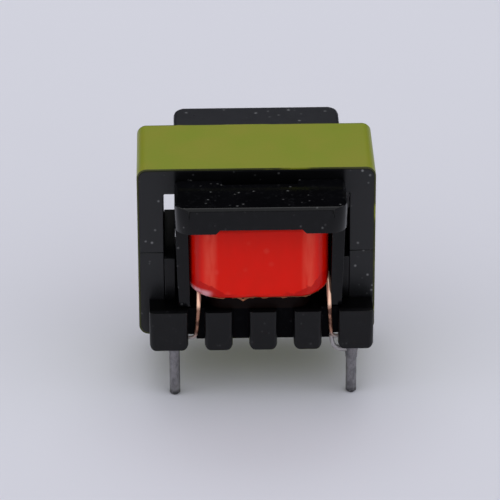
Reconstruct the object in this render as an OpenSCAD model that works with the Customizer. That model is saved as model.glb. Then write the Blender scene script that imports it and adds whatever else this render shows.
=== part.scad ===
// A small through-hole transformer: an E core pair in a vertical bobbin,
// bound with tape, with an insulating cover over its wound and taped coil.
// Frame: X along the pin rows, Y from front to back, Z up. The origin is the
// centre of the pin grid on the seating plane, which the comb teeth stand on.

/* [Core] */
// Width of the core across its outer legs
core_w = 13.1; // [13.0:0.05:13.4]
// Thickness of the core from front to back
core_t = 5.95; // [5.7:0.05:6.2]
// Height of one E half
core_half_h = 5.05; // [4.95:0.05:5.3]
// Height of the yoke that joins the legs
yoke_h = 1.42; // [1.3:0.02:1.5]
// Width of each outer leg
outer_leg_w = 1.36; // [1.3:0.02:1.4]
// Width of the centre leg
center_leg_w = 2.7; // [2.5:0.05:2.8]
// Air gap ground into the centre leg of the upper half
air_gap = 0.2; // [0.05:0.05:0.5]
// Radius of the core's outer corners
core_corner_r = 0.45; // [0.2:0.05:0.8]
// Radius at the foot of each leg, inside the window
core_fillet_r = 0.12; // [0.06:0.02:0.14]
// Height of the core above the seating plane
core_standoff = 0.22; // [0.2:0.02:0.5]
// Sideways place of the core from the middle of the pin grid
core_x = -0.32; // [-0.34:0.02:-0.28]

/* [Core tape] */
// Thickness of the tape bound round the core
core_tape_t = 0.09; // [0.05:0.01:0.12]
// Width of that tape
core_tape_w = 5.85; // [5.0:0.05:5.9]
// Length of the tape's last lap, under the core
core_tape_lap = 5; // [2:0.5:8]

/* [Bobbin] */
// Sideways place of the bobbin's tube from the middle of the pin grid
bobbin_x = -0.2; // [-0.22:0.02:-0.16]
// Wall of the winding tube
tube_wall = 0.45; // [0.35:0.05:0.5]
// Radius of the tube's outer corners
tube_r = 0.4; // [0.2:0.05:0.45]
// Clearance between the tube and the sides of the centre leg
tube_clear_x = 0.17; // [0.16:0.01:0.25]
// Clearance between the tube and the front and back of the centre leg
tube_clear_y = 0.08; // [0.05:0.01:0.15]
// Thickness of the lower flange
lower_flange_t = 0.7; // [0.6:0.05:0.8]
// Thickness of the upper flange
upper_flange_t = 0.42; // [0.36:0.02:0.5]
// Clearance between the upper flange's sides and the cover's cheeks
upper_flange_gap = 0.07; // [0.04:0.01:0.3]
// Half depth of the upper flange
upper_flange_half_d = 5.0; // [4.6:0.05:5.2]
// Corner radius of the upper flange
upper_flange_r = 1.2; // [0.5:0.1:1.5]
// Thickness of the guide walls beside the outer legs
guide_t = 0.6; // [0.5:0.02:0.66]
// Height of the guide walls above the lower flange
guide_h = 2.6; // [2:0.05:2.8]
// Distance of the guide walls' ends from the middle
guide_reach = 3.15; // [2.5:0.05:3.2]
// Clearance between the bobbin and the core's faces
seat_clear = 0.05; // [0.03:0.01:0.08]

/* [Pin rails] */
// Number of teeth on each rail, one for each pin position
teeth = 5; // [5:1:5]
// Distance from one pin position to the next
pin_pitch = 2.5; // [2.45:0.01:2.54]
// Distance between the two rows of pins
row_spacing = 7.6; // [7.5:0.02:7.7]
// Distance of the rails' outer faces from the middle of the pin grid
rail_face_y = 4.8; // [4.7:0.05:4.9]
// Width of a tooth
tooth_w = 1.58; // [1.4:0.02:1.7]
// How far the rail runs past the first pin position
rail_end_left = 1.38; // [1.2:0.02:1.4]
// How far the rail runs past the last pin position
rail_end_right = 1.19; // [1.0:0.02:1.2]
// Radius of the teeth's lower corners
tooth_r = 0.38; // [0.2:0.02:0.5]
// Radius of the teeth's outer edges, seen from above
tooth_edge_r = 0.25; // [0.1:0.05:0.3]
// How far the wall between the teeth lies behind their faces
slot_depth = 0.62; // [0.4:0.02:0.7]
// Height of that wall above the seating plane
slot_wall_lift = 0.42; // [0.3:0.02:0.8]
// Depth of the pin holes, from the seating plane
pin_hole_depth = 2; // [1.7:0.05:2.1]
// Height of the relief in an end tooth that takes the lead's turns
relief_h = 0.7; // [0.68:0.02:0.78]
// Wall left in front of that relief
relief_wall = 0.3; // [0.25:0.01:0.32]

/* [Pins] */
// Diameter of the wire that the pins are cut from
pin_wire_d = 0.58; // [0.5:0.02:0.62]
// Thickness of the solder coat that dipping leaves on a pin
pin_coat_t = 0.01; // [0.005:0.005:0.02]
// Length of a pin below the seating plane
pin_length = 3.25; // [2.8:0.05:4]
// Chamfer at the pin's tip
pin_chamfer = 0.12; // [0.05:0.01:0.2]
// Clearance round the pin's wire in its hole
pin_fit = 0.01; // [0.005:0.005:0.02]

/* [Winding cover] */
// Sideways place of the cover from the middle of the pin grid
cover_x = -0.14; // [-0.16:0.02:-0.12]
// Clearance between the cover and the core's outer legs, if both were centred
cover_leg_gap = 0.44; // [0.42:0.01:0.6]
// Distance of the cover's front and rear edges from the middle
cover_reach = 6.72; // [6.2:0.02:7]
// Thickness of the cover's plate under the yoke
cover_plate_t = 0.62; // [0.5:0.02:0.7]
// Height of the cover's eaves above its plate's underside
eave_h = 1.54; // [1.2:0.02:1.8]
// Height of the shallow arch under each eave
arch_h = 0.24; // [0.1:0.02:0.4]
// Width of that arch
arch_w = 5; // [4:0.1:6]
// How far the ends of the arch slope
arch_slope = 0.25; // [0.1:0.05:0.4]
// Corner radius of the eaves, seen from above
eave_r = 1; // [0.6:0.1:1.4]
// Radius of the eaves' upper edge
eave_edge_r = 0.2; // [0.1:0.05:0.3]
// Thickness of the cover's cheeks
cheek_t = 0.74; // [0.6:0.02:0.78]
// How far a cheek leans in towards its foot
cheek_lean = 0.08; // [0:0.01:0.1]
// How much thinner a cheek is at its foot
cheek_foot_loss = 0.08; // [0:0.02:0.2]
// Distance of the cheeks' ends from the middle
cheek_reach = 4.15; // [3.9:0.05:4.2]
// Clearance round the cover where it passes the bobbin
cover_clear = 0.06; // [0.04:0.01:0.08]

/* [Windings] */
// Build of the primary winding on the tube
primary_build = 0.7; // [0.5:0.05:0.8]
// Thickness of the tape between the windings
interlayer_t = 0.08; // [0.05:0.01:0.12]
// Build of the secondary winding
secondary_build = 0.66; // [0.5:0.02:0.7]
// Thickness of the outer tape
outer_tape_t = 0.13; // [0.08:0.01:0.15]
// Clearance between the coil's sides and the cover's cheeks
coil_cheek_gap = 0.03; // [0.02:0.01:0.3]
// Plan corner radius of the finished coil
coil_r = 1.8; // [1.6:0.1:2.2]
// Height of the secondary winding above the lower flange
coil_lift = 0.75; // [0.5:0.05:0.9]
// Radius of the coil's lower edge, where the tape is drawn in
coil_lower_r = 0.5; // [0.35:0.05:0.6]
// Radius of the coil's upper edge
coil_upper_r = 0.25; // [0.2:0.05:0.4]
// Clearance between one layer and the next
layer_clear = 0.01; // [0.005:0.005:0.02]

/* [Leads and solder] */
// Diameter of a lead wire
lead_d = 0.24; // [0.2:0.01:0.25]
// Turns of the lead round its pin
lead_turns = 2; // [1:1:2]
// Rise from one turn to the next
lead_turn_rise = 0.26; // [0.255:0.005:0.27]
// Clearance between a turn and the pin it is on
turn_clear = 0.01; // [0.005:0.005:0.02]
// Clearance between a lead and the flange, the slot and the coil
lead_clear = 0.05; // [0.03:0.01:0.08]
// Thickness of the solder round the turns
solder_t = 0.07; // [0.04:0.01:0.1]
// Height of the solder's taper below the turns
solder_tail_h = 0.35; // [0.2:0.05:0.45]
// Height of the taper on the one pin where the solder ran down further
long_tail_h = 0.9; // [0.5:0.05:1]
// Thickness of the solder's edge where it ends on the pin
solder_edge_t = 0.03; // [0.01:0.01:0.05]

/* [Hidden] */
$fn = 48;
// overlap that lets one shape of a piece run into the next
eps = 0.02;
// longer than any piece, for cuts that go right through
through = 3 * core_w;

ferrite = [0.16, 0.16, 0.17];
phenolic = [0.11, 0.11, 0.12];
yellow_film = [0.5, 0.53, 0.18];
red_film = [0.78, 0.13, 0.08];
copper = [0.8, 0.5, 0.35];
tinned = [0.55, 0.54, 0.56];

// heights of the core and of the winding window
core_mid_z = core_standoff + core_half_h;
core_top_z = core_standoff + 2 * core_half_h;
window_low_z = core_standoff + yoke_h;
window_high_z = core_top_z - yoke_h;
leg_inner_x = core_w / 2 - outer_leg_w;

// bobbin
flange_low_z = window_low_z + seat_clear;
flange_top_z = flange_low_z + lower_flange_t;
tube_bore_x = center_leg_w / 2 + tube_clear_x;
tube_bore_y = core_t / 2 + tube_clear_y;
tube_x = tube_bore_x + tube_wall;
tube_y = tube_bore_y + tube_wall;
tube_top_z = window_high_z - seat_clear;
guide_outer_x = leg_inner_x - seat_clear / 2;
guide_top_z = flange_top_z + guide_h;
core_face_y = core_t / 2 + seat_clear;
rail_left_x = -(teeth - 1) / 2 * pin_pitch - rail_end_left;
rail_right_x = (teeth - 1) / 2 * pin_pitch + rail_end_right;
pin_row_y = row_spacing / 2;
pin_x = (teeth - 1) / 2 * pin_pitch;
pin_hole_r = pin_wire_d / 2 + pin_fit;
pin_r = pin_wire_d / 2 + pin_coat_t;

// cover, which hangs between the core's outer legs and clears the coil's sides
cover_w = 2 * (leg_inner_x - cover_leg_gap);
cover_shift = abs(cover_x - bobbin_x);
cheek_inner_x = cover_w / 2 - cheek_t - cheek_lean;
cover_low_z = tube_top_z - cover_plate_t;
cheek_foot_z = flange_top_z + cover_clear;
upper_flange_top_z = cover_low_z - cover_clear / 2;
upper_flange_low_z = upper_flange_top_z - upper_flange_t;
upper_flange_half_w = cheek_inner_x - cover_shift - upper_flange_gap;

// coil: each level is a build-up on the tube, in the order it was wound
coil_low_z = flange_top_z + layer_clear;
coil_under_z = flange_top_z + coil_lift;
coil_high_z = upper_flange_low_z - layer_clear;
primary_out = primary_build;
interlayer_in = primary_out + layer_clear;
interlayer_out = interlayer_in + interlayer_t;
secondary_in = interlayer_out + layer_clear;
secondary_out = secondary_in + secondary_build;
outer_in = secondary_out + layer_clear;
outer_out = outer_in + outer_tape_t;
// beside the tube the coil fills the room up to the cheeks
coil_side_x = cheek_inner_x - cover_shift - coil_cheek_gap;
side_growth = (coil_side_x - tube_x) / outer_out;

// leads and their turns round the pins
turn_r = pin_r + lead_d / 2 + turn_clear;
turn_steps = 20;
turns_top_z = relief_h - lead_clear / 2 - lead_d / 2;
turns_low_z = turns_top_z - lead_turns * lead_turn_rise;
relief_gap = layer_clear + solder_t + lead_clear;
slot_x = pin_x - pin_pitch / 2;
slot_wall_y = rail_face_y - slot_depth;

function level_x(build) = tube_x + build * side_growth;
function level_y(build) = tube_y + build;
function level_r(build) = tube_r + (coil_r - tube_r) * build / outer_out;

// ---- flat shapes ----

module rounded_rect(w, d, r) {
    square([w - 2 * r, d], center = true);
    square([w, d - 2 * r], center = true);
    for (sx = [-1, 1], sy = [-1, 1])
        translate([sx * (w / 2 - r), sy * (d / 2 - r)]) circle(r);
}

// a block from y = 0 up, its two corners at y = 0 rounded
module eased_block(w, h, r) {
    translate([-w / 2, r]) square([w, h - r]);
    translate([-w / 2 + r, 0]) square([w - 2 * r, h]);
    for (side = [-1, 1]) translate([side * (w / 2 - r), r]) circle(r);
}

// the same block with its rounded corners at the top
module eased_top(w, h, r) {
    translate([0, h]) mirror([0, 1]) eased_block(w, h, r);
}

// one E half seen from the front, its yoke at the bottom, its legs up
module e_outline(center_h) {
    window_w = leg_inner_x - center_leg_w / 2;
    difference() {
        eased_block(core_w, core_half_h, core_corner_r);
        for (side = [-1, 1])
            translate([side * (leg_inner_x - window_w / 2), yoke_h])
                eased_block(window_w, core_half_h, core_fillet_r);
        translate([-center_leg_w / 2, center_h])
            square([center_leg_w, core_half_h]);
    }
}

// raise a flat shape from the XY plane and give it a depth along Y
module stand_up(depth) {
    rotate([90, 0, 0]) linear_extrude(depth, center = true) children();
}

// ---- core ----

module core_lower() {
    color(ferrite) translate([core_x, 0, core_standoff])
        stand_up(core_t) e_outline(core_half_h);
}

module core_upper() {
    color(ferrite) translate([core_x, 0, core_top_z]) mirror([0, 0, 1])
        stand_up(core_t) e_outline(core_half_h - air_gap);
}

module core_tape() {
    inner = layer_clear;
    outer = layer_clear + core_tape_t;
    color(yellow_film) translate([core_x, 0, core_mid_z]) {
        stand_up(core_tape_w) difference() {
            rounded_rect(core_w + 2 * outer, 2 * core_half_h + 2 * outer,
                         core_corner_r + outer);
            rounded_rect(core_w + 2 * inner, 2 * core_half_h + 2 * inner,
                         core_corner_r + inner);
        }
        // the last lap ends under the core, and is one with the layer it is stuck to
        translate([-core_tape_lap / 2, -core_tape_w / 2, -core_half_h - outer - core_tape_t])
            cube([core_tape_lap, core_tape_w, core_tape_t + core_tape_t / 2]);
    }
}

// ---- bobbin ----

// one tooth of the front rail, with its face to the front
module comb_tooth(left, right) {
    depth = rail_face_y - core_face_y + eps;
    w = left + right;
    translate([(right - left) / 2, -rail_face_y, 0]) intersection() {
        translate([0, depth / 2, 0]) stand_up(depth) eased_block(w, flange_top_z, tooth_r);
        linear_extrude(flange_top_z) eased_block(w, depth, tooth_edge_r);
    }
}

// the front rail: its teeth and the wall that joins them, flat against the core
module rail() {
    difference() {
        union() {
            for (i = [0:teeth - 1]) translate([(i - (teeth - 1) / 2) * pin_pitch, 0, 0])
                comb_tooth(i == 0 ? rail_end_left : tooth_w / 2,
                           i == teeth - 1 ? rail_end_right : tooth_w / 2);
            translate([rail_left_x + tooth_r, -slot_wall_y, slot_wall_lift])
                cube([rail_right_x - rail_left_x - 2 * tooth_r,
                      slot_wall_y - core_face_y + eps, flange_top_z - slot_wall_lift]);
        }
        translate([-through / 2, -core_face_y, -eps]) cube(through);
    }
}

module both_rails() {
    rail();
    mirror([0, 1, 0]) rail();
}

// the lower flange through the core's window, with its guide walls
module window_floor() {
    translate([-guide_outer_x, -core_face_y - eps, flange_low_z])
        cube([2 * guide_outer_x, 2 * (core_face_y + eps), lower_flange_t]);
    for (side = [-1, 1])
        translate([side * (guide_outer_x - guide_t / 2), 0, (flange_low_z + guide_top_z) / 2])
            cube([guide_t, 2 * guide_reach, guide_top_z - flange_low_z], center = true);
}

// the relief round an end pin, open to the slot that its lead comes down
module relief(sx, sy) {
    side_x = turn_r + lead_d / 2 + relief_gap;
    w = pin_x + side_x - slot_x;
    depth = rail_face_y - relief_wall - core_face_y;
    translate([sx * (slot_x + w / 2), sy * (core_face_y + depth / 2), relief_h / 2])
        cube([w, depth + eps, relief_h + eps], center = true);
}

module pin_holes() {
    for (i = [0:teeth - 1], side = [-1, 1])
        translate([(i - (teeth - 1) / 2) * pin_pitch, side * pin_row_y, -eps])
            cylinder(h = pin_hole_depth + eps, r = pin_hole_r);
}

module bobbin() {
    color(phenolic) difference() {
        union() {
            both_rails();
            translate([core_x, 0, 0]) window_floor();
            translate([bobbin_x, 0, 0]) {
                translate([0, 0, flange_low_z]) linear_extrude(tube_top_z - flange_low_z)
                    rounded_rect(2 * tube_x, 2 * tube_y, tube_r);
                translate([0, 0, upper_flange_low_z]) linear_extrude(upper_flange_t)
                    rounded_rect(2 * upper_flange_half_w, 2 * upper_flange_half_d,
                                 upper_flange_r);
            }
        }
        translate([bobbin_x, 0, core_mid_z])
            cube([2 * tube_bore_x, 2 * tube_bore_y, 2 * core_half_h], center = true);
        pin_holes();
        for (sx = [-1, 1], sy = [-1, 1]) relief(sx, sy);
    }
}

// ---- winding cover ----

// one cheek: a wall that hangs down outside the coil and leans in a little
module cheek() {
    outer_x = cover_w / 2;
    foot_outer_x = outer_x - cheek_lean - cheek_foot_loss;
    difference() {
        stand_up(2 * cheek_reach)
            polygon([[cheek_inner_x, cheek_foot_z], [outer_x - cheek_t, cover_low_z + eps],
                     [outer_x, cover_low_z + eps], [foot_outer_x, cheek_foot_z]]);
        // the cheek straddles the guide wall
        translate([0, 0, cheek_foot_z])
            cube([through, 2 * (guide_reach + cover_clear),
                  2 * (guide_top_z + cover_clear - cheek_foot_z)], center = true);
    }
}

// the plate and its two eaves, their corners and upper edges rounded
module cover_plate() {
    intersection() {
        linear_extrude(eave_h) rounded_rect(cover_w, 2 * cover_reach, eave_r);
        stand_up(through) eased_top(cover_w, eave_h, eave_edge_r);
        rotate([0, 0, 90]) stand_up(through)
            eased_top(2 * cover_reach, eave_h, eave_edge_r);
    }
}

// the arch under an eave, seen from the front
module arch_outline() {
    polygon([[-arch_w / 2, -eps], [arch_w / 2, -eps],
             [arch_w / 2 - arch_slope, arch_h], [-arch_w / 2 + arch_slope, arch_h]]);
}

module winding_cover() {
    mouth_x = tube_x + cover_clear + cover_shift;
    mouth_y = tube_y + cover_clear;
    color(phenolic) translate([cover_x, 0, 0]) {
        translate([0, 0, cover_low_z]) difference() {
            cover_plate();
            // channel for the yoke
            translate([0, 0, cover_plate_t + eave_h / 2])
                cube([through, 2 * core_face_y, eave_h], center = true);
            // mouth for the tube
            cube([2 * mouth_x, 2 * mouth_y, through], center = true);
            // shallow arch under each eave, outside the bobbin's flange
            difference() {
                stand_up(through) arch_outline();
                cube([through, 2 * upper_flange_half_d, through], center = true);
            }
        }
        cheek();
        mirror([1, 0, 0]) cheek();
    }
}

// ---- coil ----

// a straight layer between two builds
module coil_layer(inner, outer) {
    translate([bobbin_x, 0, coil_low_z]) linear_extrude(coil_high_z - coil_low_z)
        difference() {
            rounded_rect(2 * level_x(outer), 2 * level_y(outer), level_r(outer));
            rounded_rect(2 * level_x(inner), 2 * level_y(inner), level_r(inner));
        }
}

// the outside of the coil at one build, its upper and lower edges rounded
module coil_form(build) {
    inset = outer_out - build;
    r = level_r(build);
    low_r = coil_lower_r - inset;
    high_r = coil_upper_r - inset;
    low_z = coil_under_z + inset;
    high_z = coil_high_z - inset;
    hull() for (sx = [-1, 1], sy = [-1, 1])
        translate([bobbin_x + sx * (level_x(build) - r), sy * (level_y(build) - r), 0])
            rotate_extrude($fn = 40) {
                translate([0, low_z]) square([r - low_r, high_z - low_z]);
                translate([0, low_z + low_r]) square([r, high_z - low_z - low_r - high_r]);
                translate([r - low_r, low_z + low_r]) intersection() {
                    circle(low_r);
                    translate([0, -low_r]) square(low_r);
                }
                translate([r - high_r, high_z - high_r]) intersection() {
                    circle(high_r);
                    square(high_r);
                }
            }
}

module primary_winding() {
    color(copper) coil_layer(layer_clear, primary_out);
}

module interlayer_tape() {
    color(red_film) coil_layer(interlayer_in, interlayer_out);
}

// what the outer layers are hollow for, with room above and below
module core_of_coil(build) {
    translate([bobbin_x, 0, coil_low_z - eps])
        linear_extrude(coil_high_z - coil_low_z + 2 * eps)
            rounded_rect(2 * level_x(build), 2 * level_y(build), level_r(build));
}

module secondary_winding() {
    color(copper) difference() {
        coil_form(secondary_out);
        core_of_coil(secondary_in);
    }
}

module outer_tape() {
    color(red_film) difference() {
        coil_form(outer_out);
        coil_form(outer_in);
        core_of_coil(secondary_in);
    }
}

// ---- pins, leads and solder ----

// a pin: bare wire in the bobbin, coated with solder from the seating plane down
module pin_at(sx, sy) {
    coated_h = pin_length - pin_chamfer;
    color(tinned) translate([sx * pin_x, sy * pin_row_y, -pin_length]) {
        cylinder(h = pin_chamfer, r1 = pin_r - pin_chamfer, r2 = pin_r);
        translate([0, 0, pin_chamfer]) cylinder(h = coated_h, r = pin_r);
        translate([0, 0, pin_length - eps])
            cylinder(h = pin_hole_depth - pin_fit + eps, r = pin_wire_d / 2);
    }
}

module front_left_pin() { pin_at(-1, -1); }
module front_right_pin() { pin_at(1, -1); }
module rear_left_pin() { pin_at(-1, 1); }
module rear_right_pin() { pin_at(1, 1); }

// ---- leads: round wires swept along a rounded run and a coil round the pin ----

function unit(v) = v / norm(v);
function square_to(v, t) = unit(v - (v * t) * t);

// cut each corner of a run, keeping both ends
function round_run(pts, times) = times == 0 ? pts : round_run(concat([pts[0]],
    [for (i = [0:len(pts) - 2], f = [0.25, 0.75])
        if (!(i == 0 && f < 0.5) && !(i == len(pts) - 2 && f > 0.5))
            pts[i] * (1 - f) + pts[i + 1] * f],
    [pts[len(pts) - 1]]), times - 1);

function tangent(pts, i) = unit(pts[min(i + 1, len(pts) - 1)] - pts[max(i - 1, 0)]);

// a side direction at each point, carried along without twist; the first is near up
function sides_along(pts) = [for (i = 0, n = square_to([0, 0, 1], tangent(pts, 0));
    i < len(pts); i = i + 1, n = i < len(pts) ? square_to(n, tangent(pts, i)) : n) n];

module wire(pts, d) {
    sides = 8;
    n = sides_along(pts);
    rings = [for (i = [0:len(pts) - 1], k = [0:sides - 1])
        let (t = tangent(pts, i), b = cross(t, n[i]), a = k * 360 / sides)
            pts[i] + d / 2 * (cos(a) * n[i] + sin(a) * b)];
    last = (len(pts) - 1) * sides;
    walls = [for (i = [0:len(pts) - 2], k = [0:sides - 1])
        let (a = i * sides + k, b = i * sides + (k + 1) % sides)
            [a, a + sides, b + sides, b]];
    ends = [[for (k = [0:sides - 1]) k],
            [for (k = [sides - 1:-1:0]) last + k]];
    polyhedron(rings, concat(walls, ends), convexity = 8);
}

// the run from under the coil, past the cheek's end and down the slot
function lead_run(sx, sy) =
    let (under_x = (level_x(interlayer_out) + level_x(outer_out)) / 2,
         under_z = coil_under_z - lead_d / 2 - lead_clear,
         edge_y = cheek_reach + lead_d / 2 + lead_clear,
         slot_y = slot_wall_y + lead_d / 2 + lead_clear,
         turn_y = pin_row_y + turn_r,
         bend = 3 * lead_d)
    [[bobbin_x + sx * under_x, sy * (core_t / 2 - lead_d), under_z],
     [bobbin_x + sx * (under_x + lead_d / 2), sy * edge_y, under_z],
     [sx * (slot_x - lead_d / 2), sy * edge_y, flange_top_z + bend / 2],
     [sx * slot_x, sy * slot_y, flange_top_z - lead_d / 2],
     [sx * slot_x, sy * slot_y, slot_wall_lift + bend],
     [sx * slot_x, sy * slot_y, turns_top_z],
     [sx * (slot_x + bend), sy * turn_y, turns_top_z],
     [sx * (pin_x - lead_d / 2), sy * turn_y, turns_top_z]];

// the turns round the pin, from the top down
function lead_coil(sx, sy) = [for (i = [0:lead_turns * turn_steps])
    let (a = i * 360 / turn_steps)
        [sx * (pin_x + turn_r * sin(a)), sy * (pin_row_y + turn_r * cos(a)),
         turns_top_z - lead_turn_rise * i / turn_steps]];

module lead_at(sx, sy) {
    color(copper) wire(concat(round_run(lead_run(sx, sy), 2), lead_coil(sx, sy)), lead_d);
}

module front_left_lead() { lead_at(-1, -1); }
module front_right_lead() { lead_at(1, -1); }
module rear_left_lead() { lead_at(-1, 1); }
module rear_right_lead() { lead_at(1, 1); }

// solder round the turns: a cup that closes on the pin in a hollow taper
module solder_at(sx, sy, tail_h) {
    inner_r = pin_r + layer_clear / 2;
    cup_r = turn_r + lead_d / 2 + layer_clear;
    outer_r = cup_r + solder_t;
    rim_z = turns_top_z - lead_d / 2 - layer_clear;
    floor_z = turns_low_z - lead_d / 2 - layer_clear;
    steps = 6;
    tail = [for (i = [0:steps]) let (a = 90 * i / steps)
        [outer_r - (outer_r - inner_r - solder_edge_t) * sin(a),
         floor_z - tail_h * (1 - cos(a))]];
    color(tinned) translate([sx * pin_x, sy * pin_row_y, 0]) rotate_extrude()
        polygon(concat([[cup_r, rim_z], [outer_r, rim_z]], tail,
            [[inner_r, floor_z - tail_h], [inner_r, floor_z], [cup_r, floor_z]]));
}

module front_left_solder() { solder_at(-1, -1, solder_tail_h); }
module front_right_solder() { solder_at(1, -1, long_tail_h); }
module rear_left_solder() { solder_at(-1, 1, solder_tail_h); }
module rear_right_solder() { solder_at(1, 1, solder_tail_h); }

core_upper();
core_lower();
core_tape();
bobbin();
winding_cover();
primary_winding();
interlayer_tape();
secondary_winding();
outer_tape();
front_left_pin();
front_right_pin();
rear_left_pin();
rear_right_pin();
front_left_lead();
front_right_lead();
rear_left_lead();
rear_right_lead();
front_left_solder();
front_right_solder();
rear_left_solder();
rear_right_solder();
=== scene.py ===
# %% [markdown]
# # A small pcb transformer, dressed for the camera
# The packed model gives every piece its real size and place. This script keeps those
# sizes and adds what a plain solid lacks: eased edges, film that wavers and puckers,
# wire that is round, and a finish for every surface. Shapes are worked on in
# millimetres, and a finished piece is brought to metres.

# %% Load the model
import math

import bmesh
import bpy
from mathutils import Matrix, Vector, noise


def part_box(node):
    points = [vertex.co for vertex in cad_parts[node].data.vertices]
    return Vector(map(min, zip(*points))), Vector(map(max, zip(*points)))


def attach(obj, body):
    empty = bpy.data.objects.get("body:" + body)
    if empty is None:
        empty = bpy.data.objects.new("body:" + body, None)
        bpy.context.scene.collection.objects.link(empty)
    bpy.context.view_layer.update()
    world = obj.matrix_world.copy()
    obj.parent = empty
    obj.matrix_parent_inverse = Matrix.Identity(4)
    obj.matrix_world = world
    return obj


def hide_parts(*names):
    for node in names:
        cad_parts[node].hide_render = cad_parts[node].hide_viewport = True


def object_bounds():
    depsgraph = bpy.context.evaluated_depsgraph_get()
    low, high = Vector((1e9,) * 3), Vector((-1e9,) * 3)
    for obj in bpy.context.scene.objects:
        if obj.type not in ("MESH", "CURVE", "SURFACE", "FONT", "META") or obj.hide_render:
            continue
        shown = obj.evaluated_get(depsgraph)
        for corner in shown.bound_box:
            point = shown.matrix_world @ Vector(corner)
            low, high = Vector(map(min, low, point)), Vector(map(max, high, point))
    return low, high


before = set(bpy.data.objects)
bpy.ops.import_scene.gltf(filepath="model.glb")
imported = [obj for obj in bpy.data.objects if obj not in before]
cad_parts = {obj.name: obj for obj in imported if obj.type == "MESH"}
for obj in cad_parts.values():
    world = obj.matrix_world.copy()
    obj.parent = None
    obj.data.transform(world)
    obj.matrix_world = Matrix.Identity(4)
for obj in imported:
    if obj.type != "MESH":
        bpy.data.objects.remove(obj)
cad_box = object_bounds()
MM = 0.001
print("CAD nodes:", len(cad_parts))

# %% [markdown]
# ## The camera
# A long lens stands far from a small part, so its edges stay nearly parallel and
# nothing looks swollen. The camera could be pointed with a tracking constraint, but
# three turns as on a tripod say more: swing about the upright axis, tip down, and roll
# slightly. It then backs away from the point that it aims at, along its own direction.

# %% Camera
AIM = Vector((-0.63, 0.0, 3.88)) * MM
DISTANCE = 206.9 * MM
TIP_DOWN = math.radians(26.89)
SWING = math.radians(1.19)
ROLL = math.radians(-0.22)
LENS_LENGTH = 261.6
SENSOR_WIDTH = 36
NEAREST_SEEN = 0.01

lens = bpy.data.cameras.new("camera")
lens.sensor_width = SENSOR_WIDTH
lens.lens = LENS_LENGTH
lens.clip_start = NEAREST_SEEN
camera = bpy.data.objects.new("camera", lens)
turn = (
    Matrix.Rotation(-SWING, 4, "Z")
    @ Matrix.Rotation(math.pi / 2 - TIP_DOWN, 4, "X")
    @ Matrix.Rotation(ROLL, 4, "Z")
)
camera.matrix_world = Matrix.Translation(AIM + turn @ Vector((0, 0, DISTANCE))) @ turn
bpy.context.scene.collection.objects.link(camera)
bpy.context.scene.camera = camera
print("camera at", [round(v / MM, 1) for v in camera.location], "mm")

# %% [markdown]
# ## Writing materials as sums
# A node tree is a sum written with boxes and wires, and a long one is hard to read as
# calls that add nodes. This small class wraps an output socket, so that a line such as
# `grain * 0.2 + 0.4` adds its Math nodes by itself. A soft step between two values is
# needed so often that it has names of its own: `above` and `below`.


# %% Shader maths
class Socket:
    """An output socket that can be added, subtracted and multiplied."""

    def __init__(self, tree, out):
        self.tree = tree
        self.out = out

    def math(self, how, *others):
        """A Math node with this socket first and the others after it."""
        values = {i + 1: other for i, other in enumerate(others)}
        return self.tree.node("Math", {"operation": how}, {0: self, **values})

    def __add__(self, other):
        return self.math("ADD", other)

    __radd__ = __add__

    def __mul__(self, other):
        return self.math("MULTIPLY", other)

    __rmul__ = __mul__

    def __sub__(self, other):
        return self.math("SUBTRACT", other)

    def __rsub__(self, other):
        return self.tree.node("Math", {"operation": "SUBTRACT"}, {0: other, 1: self})

    def step(self, start, end):
        """0 at the start and 1 at the end, smooth between. The start may be the higher."""
        return self.tree.node(
            "MapRange",
            {"interpolation_type": "SMOOTHSTEP"},
            {"Value": self, "From Min": start, "From Max": end},
        )

    def above(self, level, soft):
        """0 below the level, 1 above it, with a soft step between."""
        return self.step(level - soft, level + soft)

    def below(self, level, soft):
        return 1 - self.above(level, soft)


print("a socket knows:", [name for name in vars(Socket) if not name.startswith("__")])

# %% [markdown]
# ## One method for every other node
# Every node is made in the same three moves: make it, set it up, and fill its sockets
# with values or wires. One method does all three. The same class serves a material
# and, further down, the world that lights the part.


# %% A node tree
class Wiring:
    """A node tree in which node() makes every node."""

    def __init__(self, tree):
        self.nodes = tree.nodes
        self.links = tree.links

    def put(self, socket, value):
        """Wire a Socket to an input, or set the input's own value."""
        if isinstance(value, Socket):
            self.links.new(value.out, socket)
        elif socket.type == "RGBA":
            socket.default_value = (*value, 1)
        else:
            socket.default_value = value

    def node(self, kind, settings, inputs, out=0):
        """Add one node: its settings first, then the values or links of its sockets."""
        made = self.nodes.new("ShaderNode" + kind)
        for key, value in settings.items():
            setattr(made, key, value)
        for key, value in inputs.items():
            self.put(made.inputs[key], value)
        return Socket(self, made.outputs[out])


print("the method that makes every node:", Wiring.node.__name__)

# %% [markdown]
# ## A finish
# All finishes here are one Principled shader with patterns in its sockets. The
# patterns could follow a UV map, but the pieces are hard and simple, so they are laid
# through space instead, in the object's own coordinates scaled to millimetres. Colours
# are blended with a Mix node, because a Math node would turn them grey.


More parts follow.
